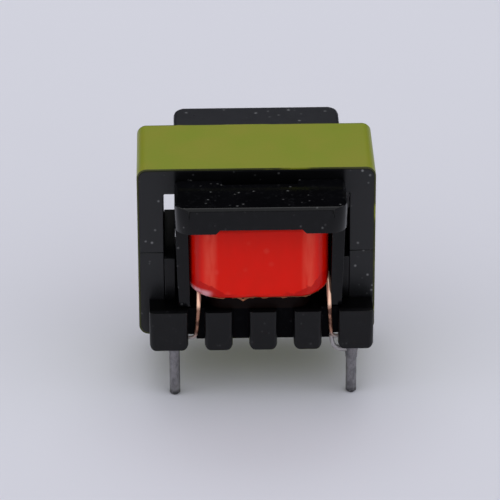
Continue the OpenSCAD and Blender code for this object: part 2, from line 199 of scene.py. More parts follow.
# %% A material
class Finish(Wiring):
    """A material with one Principled shader and patterns measured in millimetres."""

    def __init__(self, name):
        self.material = bpy.data.materials.new(name)
        self.material.use_nodes = True
        super().__init__(self.material.node_tree)
        self.shader = self.nodes["Principled BSDF"]
        where = self.node("TexCoord", {}, {}, out="Object")
        self.place = self.node(
            "Mapping", {}, {"Vector": where, "Scale": (1 / MM, 1 / MM, 1 / MM)}
        )

    def noise(self, scale, detail=3, rough=0.5, stretch=(1, 1, 1)):
        """Cloudy noise, scale in cells per millimetre; a small stretch draws it out."""
        place = self.node("Mapping", {}, {"Vector": self.place, "Scale": stretch})
        return self.node(
            "TexNoise",
            {},
            {"Vector": place, "Scale": scale, "Detail": detail, "Roughness": rough},
        )

    def cells(self, scale):
        """Distance to the nearest of many scattered points, in cells."""
        return self.node(
            "TexVoronoi", {}, {"Vector": self.place, "Scale": scale}, out="Distance"
        )

    def axis(self, name):
        """One coordinate, in millimetres."""
        return self.node("SeparateXYZ", {}, {"Vector": self.place}, out=name)

    def aside(self, middle):
        """How far a point lies to either side of a middle, in millimetres."""
        return (self.axis("X") - middle).math("ABSOLUTE")

    def blend(self, mask, a, b):
        """Colour a where the mask is 0, colour b where it is 1."""
        return self.node("Mix", {"data_type": "RGBA"}, {0: mask, 6: a, 7: b}, out=2)

    def bump(self, height, strength, depth):
        """A Bump node; depth is the height of a full step, in millimetres."""
        inputs = {"Height": height, "Strength": strength, "Distance": depth * MM}
        return self.node("Bump", {}, inputs)

    def set(self, **values):
        """Base_Color=..., Roughness=... and so on, on the Principled shader."""
        for key, value in values.items():
            self.put(self.shader.inputs[key.replace("_", " ")], value)
        return self.material


print("patterns: noise, cells, distance aside and the three axes")

# %% [markdown]
# ## Landmarks
# Some painted shade, painted highlights and folds have a fixed place on the part, so
# a finish must know where the pieces stand. The pieces were put together by hand, and
# their middles differ a little from left to right. Those middles are measured on the
# CAD nodes and not typed in.


# %% Middles of the main pieces
def box_mm(node):
    """The lowest and highest corner of a CAD node, in millimetres."""
    low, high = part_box(node)
    return Vector(low) / MM, Vector(high) / MM


def middle_x(node):
    """The middle of a CAD node from left to right, in millimetres."""
    low, high = box_mm(node)
    return (low.x + high.x) / 2


CORE_X = middle_x("core_upper")
COIL_X = middle_x("outer_tape")
COVER_X = middle_x("winding_cover")
print("middles:", round(CORE_X, 3), round(COIL_X, 3), round(COVER_X, 3), "mm")

# %% [markdown]
# ## Dust
# Dust settles on everything, and on black surfaces it shows as pale specks. Modelled
# grains would be many thousands of faces, so a mask stands for them: points scattered
# through space, thinned out by a cloudy noise, so that they gather in some places.

# %% Dust
SPECK_SIZE = 0.12  # as a share of the points' spacing
SPECK_PALE = (0.32, 0.32, 0.33)


def dust(finish, density):
    """A mask of small pale specks, density in points per millimetre."""
    specks = finish.cells(density).below(SPECK_SIZE, SPECK_SIZE * 0.8)
    thinned = finish.noise(1.3, detail=2).above(0.52, 0.08)
    return specks * thinned


print("a speck reaches over", SPECK_SIZE, "of the points' spacing")

# %% [markdown]
# ## Ferrite
# A ferrite core is pressed from powder, fired and ground. It is near black with a
# faint grey bloom, as dull as slate, and full of fine pits. The front of the yoke,
# behind the cover's eave, is painted dead black as painted shade, where the eave keeps
# the floor's light off it and the face mirrors the black eave. A second material could
# show the painted shade, but a mask in the same one keeps its edge soft. It feeds
# Metallic, because a near-black metal reflects nearly nothing: the mask takes the gloss
# away and doesn't say that anything is metal.

# %% Ferrite
SHADE_HALF_WIDTH = 4.72
SHADE_FOOT = 8.7
SHADE_FACE = -2.9


def make_ferrite():
    f = Finish("ferrite")
    grain = f.noise(26, detail=4, rough=0.7)
    cloud = f.noise(0.7, detail=3)
    pits = f.cells(9).below(0.1, 0.05) * f.noise(2.2).above(0.5, 0.08)
    shade = f.blend(cloud, (0.0018, 0.0019, 0.0028), (0.0050, 0.0052, 0.0070))
    # painted shade: the yoke's front behind the eave is dulled by this mask on Metallic
    painted_shade = f.aside(COVER_X).below(SHADE_HALF_WIDTH, 0.12)
    painted_shade = painted_shade * f.axis("Z").above(SHADE_FOOT, 0.2) * f.axis("Y").below(SHADE_FACE, 0.05)
    return f.set(
        Base_Color=f.blend(dust(f, 2.0) * 0.6, shade, SPECK_PALE),
        Metallic=painted_shade * 0.8,
        Roughness=0.32 + grain * 0.12,
        Normal=f.bump(grain - pits * 2, 0.4, 0.012),
        Specular_IOR_Level=0.44,
    )


ferrite = make_ferrite()
print(ferrite.name, len(ferrite.node_tree.nodes), "nodes")

# %% [markdown]
# ## Moulded phenolic
# The bobbin and the winding cover are moulded in black phenolic. It is glossier than
# ferrite where the tool was polished, has faint flow marks along its length, and is
# rubbed by handling. Two separate materials would repeat each other, so one function
# starts both, and each moulding then adds what only it has.


# %% What both mouldings share
def start_phenolic(name, gloss, shine, dusty):
    """A finish with its bump and shine set, and the colour and roughness to go with it."""
    f = Finish(name)
    flow = f.noise(1.1, detail=4, stretch=(0.6, 1, 2.0))
    grain = f.noise(34, detail=3, rough=0.6)
    rubbed = f.noise(2.6, detail=5, rough=0.75).above(0.62, 0.1)
    shade = f.blend(flow, (0.0008, 0.0008, 0.0012), (0.0024, 0.0024, 0.0034))
    worn = f.blend(rubbed * 0.4, shade, (0.012, 0.012, 0.014))
    specks = dust(f, 2.1)
    colour = f.blend(specks * dusty, worn, (0.16, 0.16, 0.165))
    rough = gloss + flow * 0.1 + specks * 0.3 + rubbed * 0.08
    f.set(Normal=f.bump(grain * 0.5 + flow, 0.3, 0.012), Specular_IOR_Level=shine)
    return f, colour, rough


print("phenolic: one recipe for two mouldings")

# %% [markdown]
# ## The bobbin's finish
# The outer faces of the teeth shine. Behind those faces, in the slots and on the lower
# flange, a painted shade takes the gloss away, so the slots look like deep black gaps.
# As on the yoke, it is a mask on Metallic.

# %% Bobbin black
TOOTH_FACE = 4.45
SLOT_SHADE_TOP = 2.7


def make_bobbin_black():
    f, colour, rough = start_phenolic("bobbin_phenolic", gloss=0.25, shine=0.27, dusty=0.18)
    behind = f.axis("Y").math("ABSOLUTE").below(TOOTH_FACE, 0.12)
    # painted shade: the slots and the lower flange lose their gloss and read as deep black
    slot_shade = behind * f.axis("Z").below(SLOT_SHADE_TOP, 0.4) * 0.9
    return f.set(Base_Color=colour, Metallic=slot_shade, Roughness=rough + slot_shade * 0.2)


bobbin_black = make_bobbin_black()
print(bobbin_black.name, len(bobbin_black.node_tree.nodes), "nodes")

# %% [markdown]
# ## The cover's finish
# The cover is polished in front. Towards the back its colour is a cloudy grey, a painted
# sheen for the light that the rear eave's top mirrors from behind, and it is rougher and
# dustier there. The sheen comes in gradually from front to back, so a slow step along the
# depth mixes it in, and a cloudy noise breaks it up.

# %% Cover black
SHEEN_MIDDLE = 1.0  # how far back it is half grown
SHEEN_REACH = 3.0  # and how far before and behind that it grows


def make_cover_black():
    f, colour, rough = start_phenolic("cover_phenolic", gloss=0.05, shine=0.23, dusty=0.5)
    # painted sheen towards the back; the same mask also makes the rear rougher and dustier
    rear_sheen = f.axis("Y").above(SHEEN_MIDDLE, SHEEN_REACH)
    cloudy = f.blend(
        f.noise(1.1, detail=4), (0.0085, 0.009, 0.013), (0.0155, 0.016, 0.0215)
    )
    sheened_colour = f.blend(rear_sheen * 0.9, colour, cloudy)
    specks = dust(f, 1.5) * rear_sheen * 0.7
    return f.set(
        Base_Color=f.blend(specks, sheened_colour, (0.2, 0.2, 0.21)),
        Roughness=rough + rear_sheen * 0.35,
    )


cover_black = make_cover_black()
print(cover_black.name, len(cover_black.node_tree.nodes), "nodes")

# %% [markdown]
# ## Yellow film
# The core is bound with thin polyester film. It lies flat on black ferrite, which
# shows through and turns the yellow olive, greener in some stretches and browner in
# others. The film could be made see-through, but then its colour would depend on the
# light that gets between film and core, so the olive is simply painted. The slit edges
# collect dirt.

# %% Yellow film
CLEAN_HALF_WIDTH = 2.86


def make_core_film():
    f = Finish("yellow_film")
    tone = f.noise(0.42, detail=3)
    fine = f.noise(7, detail=3)
    olive = f.blend(tone.above(0.5, 0.3), (0.200, 0.248, 0.019), (0.236, 0.240, 0.023))
    colour = f.blend(fine * 0.2, olive, (0.30, 0.31, 0.04))
    # dirt on the slit edges, with a clean stretch here and there
    slit = f.axis("Y").math("ABSOLUTE").above(CLEAN_HALF_WIDTH, 0.03)
    darkened = slit * f.noise(0.5, detail=2).below(0.6, 0.06)
    waves = f.noise(1.3, detail=2, stretch=(1, 0.3, 1))
    return f.set(
        Base_Color=f.blend(darkened * 0.85, colour, (0.03, 0.03, 0.018)),
        Roughness=0.34 + tone * 0.12,
        Normal=f.bump(waves + fine * 0.15, 0.3, 0.03),
        Specular_IOR_Level=0.25,
    )


core_film = make_core_film()
print(core_film.name, len(core_film.node_tree.nodes), "nodes")

# %% [markdown]
# ## Red film
# The film round the coil is wound tightly on wire, so it is slightly lumpy, with faint
# pale spots. Over each corner a paler band is a painted highlight, and beyond the corner
# the film is painted deep red as painted shade. Along its lower edge it is folded in,
# higher up towards the corners, and the folds are painted a darker red, a painted shade
# in the creases. At the left front corner the adhesive shows white.
# Each of these could be a material of its own, but masks by place, some made ragged by
# a noise, hold them all in one, and no seam shows between them.

# %% Red film
FOLD_TOP = 3.72
FOLD_FROM = 1.5
FOLD_RISES_FROM = 1.9
FOLD_SLOPE = 0.45
HIGHLIGHT_FROM = 2.45
HIGHLIGHT_TO = 3.05
SIDE_SHADE_FROM = 3.3
GLUE_TOP = 3.82
GLUE_RIGHT = -2.95
GLUE_BACK = -2.5


def make_coil_film():
    f = Finish("red_film")
    lumps = f.noise(1.4, detail=3, stretch=(1, 1, 0.5))
    fine = f.noise(6, detail=3)
    aside = f.aside(COIL_X)
    red = f.blend(lumps, (0.86, 0.007, 0.001), (0.74, 0.011, 0.002))
    spots = f.cells(0.8).below(0.12, 0.08)
    red = f.blend(spots * 0.15, red, (0.85, 0.16, 0.12))
    drawn = f.noise(1.2, detail=2, stretch=(1.6, 1.6, 0.25)).above(0.42, 0.14)
    # painted highlight: a paler band over each corner, where the film catches the light
    corner_highlight = aside.above(HIGHLIGHT_FROM, 0.2) * aside.below(HIGHLIGHT_TO, 0.2) * drawn
    red = f.blend(corner_highlight * 0.6, red, (0.90, 0.10, 0.06))
    # painted shade: beyond each corner the film turns away from the light
    red = f.blend(aside.above(SIDE_SHADE_FROM, 0.15) * 0.6, red, (0.45, 0.002, 0.0))
    # subtracting the rise makes the fold's level climb towards the corners
    lifted = f.axis("Z") - (aside - FOLD_RISES_FROM).math("MAXIMUM", 0.0) * FOLD_SLOPE
    ragged = lifted + (f.noise(1.7, detail=2) - 0.5) * 0.9
    # painted shade in the creases of the folded-in lower edge
    fold_shade = ragged.below(FOLD_TOP, 0.06) * aside.above(FOLD_FROM, 0.5)
    red = f.blend(fold_shade * 0.8, red, (0.50, 0.0015, 0.0))
    corner = f.axis("Z").below(GLUE_TOP, 0.12) * f.axis("X").below(GLUE_RIGHT, 0.25)
    glue = corner * f.axis("Y").below(GLUE_BACK, 0.3) * f.noise(2.2).above(0.36, 0.12)
    return f.set(
        Base_Color=f.blend(glue * 0.8, red, (0.75, 0.42, 0.46)),
        Roughness=0.2 + lumps * 0.1 + glue * 0.3,
        Normal=f.bump(lumps + fine * 0.2, 0.3, 0.04),
        Specular_IOR_Level=0.15,
    )


coil_film = make_coil_film()
print(coil_film.name, len(coil_film.node_tree.nodes), "nodes")

# %% [markdown]
# ## The film between the windings
# Only the lower edge of this layer shows, under the coil, and it is painted nearly
# black, a painted shade for the shadow of the coil above it. So little of it is seen that
# two noises are enough: one for the painted shade and one, drawn out upwards, for its
# wrinkles.


# %% Margin film
def make_margin_film():
    f = Finish("margin_film")
    # painted shade: the whole film is near black for the coil's shadow, and this noise varies it
    painted_shade = f.noise(1.6, detail=3)
    return f.set(
        Base_Color=f.blend(painted_shade, (0.002, 0.0007, 0.0006), (0.006, 0.0015, 0.001)),
        Roughness=0.4 + painted_shade * 0.2,
        Normal=f.bump(f.noise(4, stretch=(1, 1, 0.3)), 0.4, 0.04),
        Specular_IOR_Level=0.08,
    )


margin_film = make_margin_film()
print(margin_film.name, len(margin_film.node_tree.nodes), "nodes")

# %% [markdown]
# ## Tin
# Pins and solder are tin that has met flux and fingers: dull grey, with brighter
# blotches and fine streaks down the pin where it was drawn, and darker patches at the tip.
# A plain metal would mirror the pale floor, so the roughness follows the streaks.

# %% Tin
DARK_TIP_TOP = -2.95


def make_tin(name, rough):
    f = Finish(name)
    blotch = f.noise(2.6, detail=5, rough=0.7, stretch=(1, 1, 0.6)).above(0.5, 0.14)
    streak = f.noise(7, detail=3, stretch=(1, 1, 0.12))
    dull = f.blend(streak, (0.10, 0.10, 0.108), (0.20, 0.19, 0.20))
    colour = f.blend(blotch * 0.7, dull, (0.33, 0.32, 0.33))
    # darker patches on the lowest part of the pin
    darkened = f.axis("Z").below(DARK_TIP_TOP, 0.12) * f.noise(4).above(0.42, 0.1)
    return f.set(
        Base_Color=f.blend(darkened * 0.8, colour, (0.03, 0.03, 0.032)),
        Metallic=0.9,
        Roughness=rough + streak * 0.2,
        Normal=f.bump(blotch + streak * 0.6, 0.5, 0.02),
    )


pin_tin = make_tin("pin_tin", 0.3)
solder_tin = make_tin("solder_tin", 0.36)
print(pin_tin.name, solder_tin.name)

# %% [markdown]
# ## Lead copper
# The leads are enamelled copper. Under the coil they are painted a bright pink, a
# painted highlight where the light catches them, and lower down a brown, a painted shade
# for the shade of the comb. Near the pins the enamel burned away in the solder bath and
# the wire is tinned. A wire could be cut into pieces with a material each, but masks by
# height do it on one unbroken wire.

# %% Lead copper
SHADE_TOP = 2.6
TINNED_TOP = 0.75


def make_lead():
    f = Finish("lead_copper")
    mottle = f.noise(4, detail=3)
    # painted highlight: the copper under the coil is painted bright pink
    painted_pink_highlight = f.blend(mottle, (1.0, 0.68, 0.52), (1.0, 0.56, 0.40))
    shaded = f.axis("Z").below(SHADE_TOP, 0.14)
    patchy = f.noise(2.2).above(0.5, 0.1)
    # painted shade: below SHADE_TOP, in the shade of the comb, the copper is painted brown
    painted_brown_shade = f.blend(patchy, (0.10, 0.035, 0.02), (0.42, 0.20, 0.13))
    copper = f.blend(shaded * 0.95, painted_pink_highlight, painted_brown_shade)
    tinned = f.axis("Z").below(TINNED_TOP, 0.3)
    return f.set(
        Base_Color=f.blend(tinned, copper, (0.42, 0.4, 0.4)),
        Metallic=0.55,
        Roughness=0.22 + tinned * 0.15,
        Normal=f.bump(mottle, 0.3, 0.01),
    )


lead_copper = make_lead()
print(lead_copper.name, len(lead_copper.node_tree.nodes), "nodes")

# %% [markdown]
# ## Wound copper
# A winding is many turns side by side, and only slivers of it are seen. Separate turns
# would be many faces for little, so the CAD solid keeps its shape, and a wave pattern
# up its height gives the ridges between the turns.

# %% Wound copper
WAVE_SCALE = 1.3  # about four ridges to a millimetre


def make_windings():
    f = Finish("wound_copper")
    turns = f.node("TexWave", {"bands_direction": "Z"}, {"Vector": f.place, "Scale": WAVE_SCALE})
    tone = f.noise(2, detail=3)
    return f.set(
        Base_Color=f.blend(tone, (0.34, 0.11, 0.05), (0.5, 0.19, 0.09)),
        Metallic=0.7,
        Roughness=0.32 + tone * 0.1,
        Normal=f.bump(turns, 0.8, 0.06),
    )


wound_copper = make_windings()
print(wound_copper.name, len(wound_copper.node_tree.nodes), "nodes")

# %% [markdown]
# ## From a CAD solid to a finished piece
# A CAD node arrives as loose triangles. A copy is merged, and flat neighbours are
# dissolved into single faces, which leaves clean edges to work on. A narrow bevel then
# takes the knife edge off every outer corner, because nothing moulded or ground has
# one, and the bevel is what catches the light. A Bevel modifier could do it too, but
# the operator lets the script choose the edges by their angle.

# %% Copy and bevel
MERGE = 1e-4
FLAT_WITHIN = math.radians(0.8)
SHARP_OVER = math.radians(35)


def cad_copy(node):
    """A bmesh of a CAD node in millimetres, merged, with flat areas made single faces."""
    bm = bmesh.new()
    bm.from_mesh(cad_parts[node].data)
    bmesh.ops.scale(bm, vec=(1 / MM,) * 3, verts=bm.verts)
    bmesh.ops.remove_doubles(bm, verts=bm.verts, dist=MERGE)
    bmesh.ops.dissolve_limit(bm, angle_limit=FLAT_WITHIN, verts=bm.verts, edges=bm.edges)
    return bm


def ease_edges(bm, width, clamp=True):
    """Bevel the sharp outward edges, and count them."""
    sharp = [
        e
        for e in bm.edges
        if e.is_manifold and e.is_convex and e.calc_face_angle() > SHARP_OVER
    ]
    bmesh.ops.bevel(
        bm,
        geom=sharp,
        offset=width,
        offset_type="OFFSET",
        segments=2,
        profile=0.5,
        affect="EDGES",
        clamp_overlap=clamp,
        material=-1,
    )
    return len(sharp)


print("edges sharper than", round(math.degrees(SHARP_OVER)), "degrees are eased")

# %% [markdown]
# ## Settling a piece
# Every finished bmesh goes through the same door: back to metres, smooth shading with
# sharp creases, one material, a place on the body's root, and the CAD nodes it stands
# for hidden. On a moulding, smooth shading alone would cast a false gradient from each
# bevel over the flat beside it. The Weighted Normal modifier lets the large faces decide
# instead.


# %% Settle
def settle(name, bm, material, slot, *nodes, crease=32, flats=False):
    """Make the bmesh an object in metres, at the origin, that stands for CAD nodes."""
    bmesh.ops.scale(bm, vec=(MM,) * 3, verts=bm.verts)
    mesh = bpy.data.meshes.new(name)
    bm.to_mesh(mesh)
    bm.free()
    mesh.shade_smooth()
    mesh.set_sharp_from_angle(angle=math.radians(crease))
    mesh.materials.append(material)
    piece = bpy.data.objects.new(name, mesh)
    bpy.context.scene.collection.objects.link(piece)
    if flats:
        # full weight on the large faces, so a flat stays flat right up to its bevel
        weighted = piece.modifiers.new("flats", "WEIGHTED_NORMAL")
        weighted.keep_sharp = True
        weighted.weight = 100
    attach(piece, "root")
    if nodes:
        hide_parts(*nodes)
    return piece


print("pieces settle on the body root")

# %% [markdown]
# ## The core halves
# The two E halves are ground where they meet and slightly rounded everywhere else by
# tumbling. Their shape is right in the CAD, so only their edges are eased.

# %% Core
CORE_EASE = 0.06

for half in ("core_upper", "core_lower"):
    bm = cad_copy(half)
    count = ease_edges(bm, CORE_EASE)
    settle("ground_" + half, bm, ferrite, "ferrite", half, flats=True)
    print(half, "edges eased:", count)

# %% [markdown]
# ## Bobbin and cover
# Both mouldings keep their CAD shape too. In the solids a thin clearance parts the
# bobbin's upper flange from the cover's cheeks, and its guide walls from the core's
# legs. The real pieces are pressed together, and light would shine through the slits,
# so the corners at those faces are moved outwards by less than a tenth of a millimetre.

# %% Mouldings
MOULDED_EASE = 0.05
FLANGE_FOOT = 7.7
FLANGE_TOP = 8.3
FLANGE_END = 3.7
FLANGE_PRESS = 0.06
GUIDE_FOOT = 2.45
GUIDE_FROM = 5.1
GUIDE_PRESS = 0.024


def press_home(bm):
    """Close the slits beside the upper flange and the guide walls."""
    moved = 0
    for v in bm.verts:
        if FLANGE_FOOT < v.co.z < FLANGE_TOP and abs(v.co.x - COIL_X) > FLANGE_END:
            v.co.x += math.copysign(FLANGE_PRESS, v.co.x)
            moved += 1
        elif v.co.z > GUIDE_FOOT and abs(v.co.x - CORE_X) > GUIDE_FROM:
            v.co.x += math.copysign(GUIDE_PRESS, v.co.x - CORE_X)
            moved += 1
    return moved


bm = cad_copy("bobbin")
ease_edges(bm, MOULDED_EASE, clamp=False)
print("bobbin corners moved:", press_home(bm))
settle("moulded_bobbin", bm, bobbin_black, "phenolic", "bobbin", flats=True)
bm = cad_copy("winding_cover")
print("cover edges eased:", ease_edges(bm, MOULDED_EASE, clamp=False))
settle("moulded_cover", bm, cover_black, "phenolic", "winding_cover", flats=True)

# %% [markdown]
# ## CAD nodes that keep their own mesh
# The pins, the solder and the layers inside the coil have the right shape already, and
# little of them shows. A copy would add nothing, so only their material changes.


# %% Repaint
def repaint(material, *nodes):
    for node in nodes:
        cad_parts[node].data.materials.clear()
        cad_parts[node].data.materials.append(material)
    print(material.name, "on", len(nodes), "nodes")


PINS = ("front_left", "front_right", "rear_left", "rear_right")
repaint(margin_film, "interlayer_tape")
repaint(wound_copper, "primary_winding", "secondary_winding")
repaint(pin_tin, *[pin + "_pin" for pin in PINS])
repaint(solder_tin, *[pin + "_solder" for pin in PINS])

# %% [markdown]
# ## The tape round the core
# The yellow film goes once round the core and laps over itself underneath. Its edges
# were slit by a blade and never run quite straight. A solid can only waver where it has
# corners to move, so evenly spaced planes first cut the copy into short stretches. A
# Subdivision modifier would add corners too, but it would also round the film's bends.

# %% Cut a mesh into stretches
ON_PLANE = 1e-5
STRETCH = 0.7


def cut_across(bm, axis, low, high, step):
    """Cut the mesh with evenly spaced planes across one axis."""
    normal = Vector([float(axis == i) for i in range(3)])
    cuts = int((high - low) / step)
    for i in range(1, cuts + 1):
        place = low + i * (high - low) / (cuts + 1)
        geometry = bm.verts[:] + bm.edges[:] + bm.faces[:]
        bmesh.ops.bisect_plane(
            bm, geom=geometry, plane_co=normal * place, plane_no=normal, dist=ON_PLANE
        )
    return cuts


bm = cad_copy("core_tape")
low, high = box_mm("core_tape")
for axis in (0, 2):
    print("cuts across", "xyz"[axis], cut_across(bm, axis, low[axis], high[axis], STRETCH))

# %% [markdown]
# ## The yellow film's edges
# Each corner is now nudged along the film's width, mostly inwards, by a smooth noise.
# A Displace modifier moves a surface along its normals, which would crumple the film
# instead, so the corners are moved one by one. The noise is read at a different place
# for each edge, so the two edges don't waver alike.

# %% Yellow film with wavering edges
WAVER = 0.035
WAVER_PACE = 0.45
APART = 3.1

for v in bm.verts:
    side = 1 if v.co.y > 0 else -1
    wave = noise.noise(Vector((v.co.x * WAVER_PACE, side * APART, v.co.z * WAVER_PACE)))
    v.co.y -= side * WAVER * (0.5 + wave)
film = settle("core_tape_film", bm, core_film, "core_film", "core_tape")
print("yellow film: corners", len(film.data.vertices))

# %% [markdown]
# ## The tape round the coil
# The red film is a thin wall bent round four corners and drawn in below. Wound by hand,
# it is never a perfect cylinder: it dips between the wires, puckers where its lower
# edge is pulled in, and swells at its two sides until it lies against the cheeks. Cloth
# simulation suits looser film than this. The copy is cut into a grid instead, and each
# corner of the grid is moved in or out, square to the coil. Both faces of the film move
# together, so it stays a film. This cell cuts the grid and finds what square to the
# coil means at every point.

# %% The coil's outline
CORNER = 1.8
GRID = (0.3, 0.3, 0.16)

bm = cad_copy("outer_tape")
tape_low, tape_high = box_mm("outer_tape")
middle = (tape_low + tape_high) / 2
half_x = (tape_high.x - tape_low.x) / 2 - CORNER
half_y = (tape_high.y - tape_low.y) / 2 - CORNER
for axis, step in enumerate(GRID):
    print("cuts across", "xyz"[axis], cut_across(bm, axis, tape_low[axis], tape_high[axis], step))


def outwards(point):
    """The level direction out of the coil at a point, round its rounded corners."""
    x = point.x - middle.x
    y = point.y - middle.y
    inner = Vector((max(-half_x, min(half_x, x)), max(-half_y, min(half_y, y)), 0))
    away = Vector((x, y, 0)) - inner
    return away.normalized() if away.length > 1e-6 else Vector((0, 0, 0))


print("red film: corners", len(bm.verts))

# %% [markdown]
# ## How the red film moves
# Four movements are added up. The lower edge is drawn up, more at the corners than in
# the middle, and more at the right corner than at the left. The sides swell. In front
# and behind, the film dips a little everywhere and puckers near its lower edge, and
# that edge waves up and down. Sculpting would do it by hand, but sums of smooth noise
# give the same film at every run. In the tables the left is -1 and the right is 1.

# %% Red film, dipped and puckered
EDGE_HEIGHT = 0.9
DRAWN_UP = 0.15
CORNER_UP = {-1: 0.22, 1: 0.40}
SWELL = {-1: 0.09, 1: 0.05}
BELLY = {-1: 0.01, 1: 0.16}
DIP = 0.03
DIP_PACE = 0.9
PUCKER = 0.16
PUCKER_PACE = 1.6
PUCKER_PACE_UP = 0.7
EDGE_WAVE = 0.05
EDGE_PACE = 1.1
FACES_ASIDE = 0.999

for v in bm.verts:
    away = outwards(v.co)
    near_edge = max(0.0, 1 - (v.co.z - tape_low.z) / EDGE_HEIGHT)
    side = 1 if v.co.x > middle.x else -1
    past_corner = max(0.0, abs(v.co.x - middle.x) - half_x) / CORNER
    v.co.x += side * SWELL[side] * past_corner
    up = DRAWN_UP * (1 - past_corner) + CORNER_UP[side] * past_corner**1.5
    v.co.z += up * near_edge
    if abs(away.x) > FACES_ASIDE:
        v.co.x += side * BELLY[side] * max(0.0, 1 - (v.co.y / half_y) ** 2)
        continue
    dip = 0.5 + 0.5 * noise.noise(v.co * DIP_PACE)
    across = (v.co.x * PUCKER_PACE, v.co.y * PUCKER_PACE, v.co.z * PUCKER_PACE_UP + 5)
    pucker = max(0.0, noise.noise(Vector(across)))
    facing = 1 - away.x**2
    v.co -= away * facing * (DIP * dip + PUCKER * pucker * near_edge)
    wave = 0.5 + noise.noise(v.co * EDGE_PACE + Vector((9, 0, 0)))
    v.co.z += facing * EDGE_WAVE * near_edge * wave
film = settle("coil_tape_film", bm, coil_film, "coil_film", "outer_tape", crease=50)
print("red film: faces", len(film.data.polygons))

# %% [markdown]
# ## The path of a wire
# A wire bends in smooth curves, but it is easiest to describe by a few stations with
# straight runs between them. A Bezier curve would need handles at each station.
# Cutting every corner of the path, and then the corners that this leaves, rounds it
# with nothing more to set.

# %% Smooth a path
ROUNDS = 2


def smooth_path(points):
    """Cut every corner of a path at a quarter and three quarters, and then again."""
    for _ in range(ROUNDS):
        cut = [points[0]]
        for a, b in zip(points, points[1:]):
            cut += [a.lerp(b, 0.25), a.lerp(b, 0.75)]
        points = cut + [points[-1]]
    return points


bend = smooth_path([Vector((0, 0, 0)), Vector((1, 0, 0)), Vector((1, 1, 0))])
print("a bend of 3 points becomes", len(bend))

# %% [markdown]
# ## The wire along its path
# A wire is a ring carried along a path. A curve with a bevel would give the same tube,
# but its radius is easier to steer here: at each point of the path a circle is created
# square to the path's direction, and neighbouring circles are bridged. The ends are
# filled, so the wire is closed, and the radius may change along the way.

# %% Sweep a ring along a path
RING_SIDES = 12


def sweep(bm, points, radius, closed=False):
    """Bridge circles along a path. radius is a function of the share of the way along."""
    loops = []
    count = len(points)
    for i, point in enumerate(points):
        if closed:
            ahead = points[(i + 1) % count] - points[i - 1]
        else:
            ahead = points[min(i + 1, count - 1)] - points[max(i - 1, 0)]
        turned = ahead.to_track_quat("Z", "Y").to_matrix().to_4x4()
        ring = bmesh.ops.create_circle(
            bm,
            segments=RING_SIDES,
            radius=radius(i / (count - 1)),
            matrix=Matrix.Translation(point) @ turned,
        )["verts"]
        loops.append(list({e for v in ring for e in v.link_edges}))
    pairs = list(zip(loops, loops[1:]))
    if closed:
        pairs.append((loops[-1], loops[0]))
    for a, b in pairs:
        bmesh.ops.bridge_loops(bm, edges=a + b)
    if not closed:
        bmesh.ops.holes_fill(bm, edges=[e for e in bm.edges if e.is_boundary], sides=0)
    bmesh.ops.recalc_face_normals(bm, faces=bm.faces)


print("rings of", RING_SIDES, "corners")

# %% [markdown]
# ## Where a lead runs
# Each winding end leaves the coil under its taped corner, drops down a slot of the
# comb, bends to its pin and is wound on it, out of sight in the end tooth. The path
# has these stations, and the turns come from a loop over the angle. Four paths could be
# typed in, but this one is measured from a pin and its slot, so it serves all four
# leads, mirrored by the sign of each side.

# %% The path of a lead
WIRE_R = 0.12
TURNS = 2
TURN_STEPS = 24
TURN_RISE = 0.26
TURN_CLEAR = 0.01
SLOT_ASIDE = 1.25
SLOT_OUT = 0.55
pin_low, pin_high = box_mm("front_right_pin")
PIN_X = (pin_low.x + pin_high.x) / 2
PIN_Y = -(pin_low.y + pin_high.y) / 2
PIN_R = (pin_high.x - pin_low.x) / 2
TURN_R = PIN_R + WIRE_R + TURN_CLEAR
TURNS_LOW = box_mm("front_right_lead")[0].z + WIRE_R
SLOT_X = PIN_X - SLOT_ASIDE
SLOT_Y = PIN_Y + SLOT_OUT


def lead_path(side_x, side_y, off_middle, leave):
    """Stations from under the coil down to the pin, then the turns round it."""
    slot_x = SLOT_X + off_middle
    top = TURNS_LOW + TURNS * TURN_RISE
    run = [
        (slot_x - leave - 0.1, PIN_Y - 0.5, tape_low.z + 1.0),
        (slot_x - leave, PIN_Y - 0.15, tape_low.z + 0.45),
        (slot_x - leave, PIN_Y + 0.15, tape_low.z + 0.16),
        (slot_x - leave * 0.85, SLOT_Y + 0.28, 2.6),
        (slot_x - leave * 0.6, SLOT_Y + 0.14, 1.9),
        (slot_x - leave * 0.3, SLOT_Y, 1.2),
        (slot_x + 0.04, SLOT_Y, top + 0.05),
        (slot_x + 0.6, PIN_Y + TURN_R, top),
        (PIN_X - WIRE_R, PIN_Y + TURN_R, top),
    ]
    run = smooth_path([Vector(point) for point in run])
    for i in range(TURNS * TURN_STEPS + 1):
        angle = math.tau * i / TURN_STEPS
        x = PIN_X + TURN_R * math.sin(angle)
        y = PIN_Y + TURN_R * math.cos(angle)
        run.append(Vector((x, y, top - TURN_RISE * i / TURN_STEPS)))
    return [Vector((side_x * p.x, side_y * p.y, p.z)) for p in run]


print("pin at", round(PIN_X, 2), round(PIN_Y, 2), "slot at", round(SLOT_X, 2), "mm")

# %% [markdown]
# ## Four leads
# The leads differ in little: the side and the end where they are, how far they lie off
# their slot's middle, and how far aside they leave the coil. A small table holds those
# four numbers, and one loop makes the wires. Under the coil the enamelled end was
# doubled back, so a lead starts thicker than the bare wire further down.

# %% Four leads
CORNERS = {
    "front_left": (-1, -1, 0.03, 0.19),
    "front_right": (1, -1, 0.08, 0.13),
    "rear_left": (-1, 1, 0.0, 0.1),
    "rear_right": (1, 1, 0.0, 0.1),
}
BARE_R = WIRE_R - 0.015
DOUBLED = 0.06
DOUBLED_SHARE = 0.2


def lead_radius(t):
    """The radius at a share of the way along, thick at the start."""
    return BARE_R + DOUBLED * max(0.0, 1 - t / DOUBLED_SHARE)


